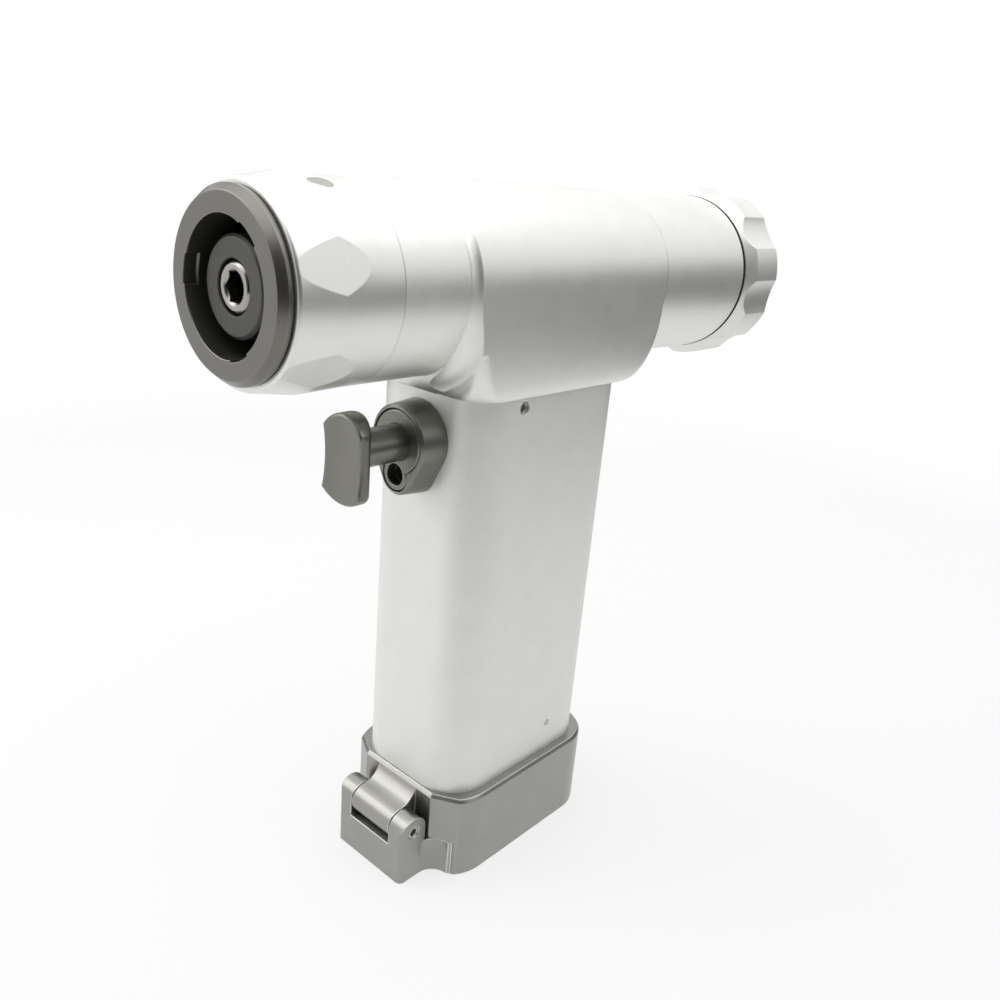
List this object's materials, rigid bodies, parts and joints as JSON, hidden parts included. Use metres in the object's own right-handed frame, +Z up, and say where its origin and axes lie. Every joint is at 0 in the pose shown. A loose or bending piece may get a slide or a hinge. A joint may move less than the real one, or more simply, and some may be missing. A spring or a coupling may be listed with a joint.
{
  "type": "surgical power drill",
  "caption": "Pistol grip battery handpiece for bone surgery with a quick coupling nose, finger trigger, lobed end knob and hinged battery cap.",
  "frame": {"origin": "on the floor the cap stands on, under the middle of the grip", "axes": "-Y out of the nose along the barrel, +Z up the grip, +X to the side with the hinge pin's screw socket"},
  "size_m": [0.044, 0.1558, 0.1595],
  "materials": {
    "anodised": "fine blasted and anodised",
    "machined": "smooth machined and anodised",
    "satin_steel": "satin brushed",
    "titanium": "satin grey, coated",
    "hub_grey": "matt dark grey, coated",
    "chrome_steel": "polished",
    "bearing_steel": "ground",
    "gear_steel": "cut teeth, oiled",
    "motor_metal": "turned",
    "laminations": "stacked sheet",
    "magnet": "ground",
    "seal_rubber": "matt",
    "board": "satin",
    "black_plastic": "matt",
    "cell_wrap": "smooth film",
    "contact_brass": "bright"
  },
  "bodies": {
    "handpiece": {"head_housing": "anodised", "grip_tube": "anodised", "nose_housing": "machined", "cap_frame": "satin_steel", "trigger_boss": "titanium", "trigger_insert": "titanium", "index_pin": "titanium", "coupling_hub": "hub_grey", "hub_flange": "hub_grey", "guide_sleeve": "hub_grey", "front_bearing": "bearing_steel", "rear_bearing": "bearing_steel", "motor_front_bearing": "bearing_steel", "motor_rear_bearing": "bearing_steel", "alignment_key": "bearing_steel", "grip_screws": "bearing_steel", "cap_pins": "bearing_steel", "hinge_pin": "bearing_steel", "trigger_spring": "bearing_steel", "catch_spring": "bearing_steel", "collar_spring": "bearing_steel", "collar_retainer": "bearing_steel", "boss_nut": "bearing_steel", "ring_gear": "gear_steel", "motor_can": "motor_metal", "motor_front_plate": "motor_metal", "motor_rear_plate": "motor_metal", "clamp_sleeve": "motor_metal", "motor_stator": "laminations", "shaft_seal": "seal_rubber", "motor_board": "board", "control_board": "board", "trigger_bracket": "black_plastic", "contact_block": "black_plastic", "battery_case": "black_plastic", "battery_cells": "cell_wrap", "contact_pins": "contact_brass"},
    "rotor": {"motor_shaft": "bearing_steel", "motor_rotor": "magnet", "sun_gear": "gear_steel"},
    "output": {"drive_spindle": "chrome_steel", "planet_carrier": "gear_steel", "carrier_plate": "gear_steel", "planet_pins": "bearing_steel"},
    "planet_a": {"planet_gear_a": "gear_steel"},
    "planet_b": {"planet_gear_b": "gear_steel"},
    "planet_c": {"planet_gear_c": "gear_steel"},
    "collar": {"collar_ring": "titanium"},
    "trigger_group": {"trigger": "titanium", "trigger_clip": "bearing_steel", "trigger_magnet": "magnet"},
    "lid": {"battery_lid": "satin_steel", "lid_seal": "seal_rubber", "lid_pad": "seal_rubber"},
    "catch": {"catch_button": "satin_steel"},
    "knob": {"end_knob": "anodised", "knob_seal": "seal_rubber"}
  },
  "joints": [
    {"name": "rotor_spin", "type": "hinge", "parent": "handpiece", "child": "rotor", "pos_m": [0, 0, 0.1375], "axis": [0, -1, 0], "continuous": true},
    {"name": "spindle_spin", "type": "hinge", "parent": "handpiece", "child": "output", "pos_m": [0, 0, 0.1375], "axis": [0, -1, 0], "continuous": true},
    {"name": "planet_a_spin", "type": "hinge", "parent": "output", "child": "planet_a", "pos_m": [0.009, -0.04, 0.1375], "axis": [0, -1, 0], "continuous": true},
    {"name": "planet_b_spin", "type": "hinge", "parent": "output", "child": "planet_b", "pos_m": [-0.0045, -0.04, 0.14529], "axis": [0, -1, 0], "continuous": true},
    {"name": "planet_c_spin", "type": "hinge", "parent": "output", "child": "planet_c", "pos_m": [-0.0045, -0.04, 0.12971], "axis": [0, -1, 0], "continuous": true},
    {"name": "collar_turn", "type": "hinge", "parent": "handpiece", "child": "collar", "pos_m": [0, -0.066, 0.1375], "axis": [0, -1, 0], "range_deg": [0, 30], "stiffness_Nm_per_rad": 0.08, "springref_deg": -20.05},
    {"name": "trigger_pull", "type": "slide", "parent": "handpiece", "child": "trigger_group", "axis": [0, 1, 0], "range_m": [0, 0.0055], "stiffness_N_per_m": 600, "springref_m": -0.004, "deforming": ["trigger_spring"]},
    {"name": "lid_hinge", "type": "hinge", "parent": "handpiece", "child": "lid", "pos_m": [0, -0.0311, 0.0132], "axis": [-1, 0, 0], "range_deg": [0, 105]},
    {"name": "catch_press", "type": "slide", "parent": "handpiece", "child": "catch", "axis": [0, -1, 0], "range_m": [0, 0.0012], "stiffness_N_per_m": 800, "springref_m": -0.0015, "deforming": ["catch_spring"]},
    {"name": "knob_turn", "type": "hinge", "parent": "handpiece", "child": "knob", "pos_m": [0, 0.076, 0.1375], "axis": [0, 1, 0], "range_deg": [0, 90]}
  ],
  "couplings": [
    {"joint": "spindle_spin", "follows": "rotor_spin", "ratio": 0.25},
    {"joint": "planet_a_spin", "follows": "rotor_spin", "ratio": -0.75},
    {"joint": "planet_b_spin", "follows": "rotor_spin", "ratio": -0.75},
    {"joint": "planet_c_spin", "follows": "rotor_spin", "ratio": -0.75}
  ]
}
